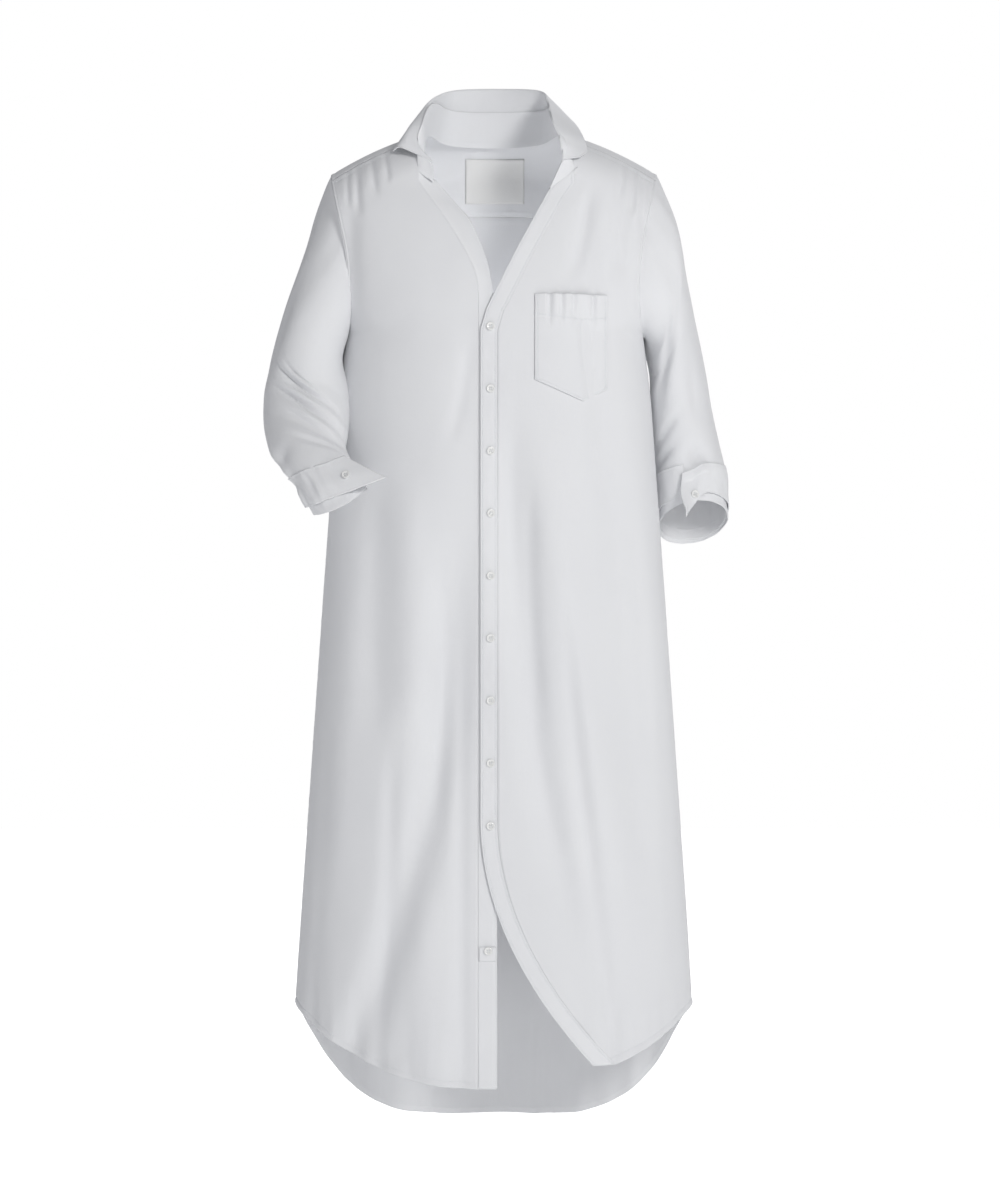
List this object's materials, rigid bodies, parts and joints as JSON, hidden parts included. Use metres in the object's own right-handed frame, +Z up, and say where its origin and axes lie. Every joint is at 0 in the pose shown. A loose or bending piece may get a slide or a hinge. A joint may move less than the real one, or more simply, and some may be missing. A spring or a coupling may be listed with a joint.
{
  "type": "shirt dress",
  "caption": "Long white cotton shirt dress with open collar, chest pocket, rolled sleeves, button front and curved shirt-tail hem, filled out with no wearer.",
  "frame": {"origin": "on the centre line between the shoulders, at the height of the base of the back neck, where a wearer carries the dress", "axes": "+X to the viewer's right (the wearer's left), +Y to the back, +Z up along the length of the dress"},
  "size_m": [0.6085, 0.3514, 1.375],
  "materials": {
    "cotton": "plain woven, matt",
    "button": "pearly",
    "label": "woven, matt"
  },
  "bodies": {
    "root": {"front_left": "cotton", "placket_top": "cotton", "front_right": "cotton", "placket_under": "cotton", "back_panel": "cotton", "yoke": "cotton", "collar_stand": "cotton", "collar_leaf": "cotton", "sleeve_left": "cotton", "sleeve_right": "cotton", "cuff_left": "cotton", "cuff_left_turn": "cotton", "cuff_right": "cotton", "cuff_right_turn": "cotton", "chest_pocket": "cotton", "neck_label": "label", "placket_tab": "cotton", "button_1": "button", "button_2": "button", "button_3": "button", "button_4": "button", "button_5": "button", "button_6": "button", "button_7": "button", "button_8": "button", "button_9": "button", "button_hem": "button"}
  },
  "joints": []
}
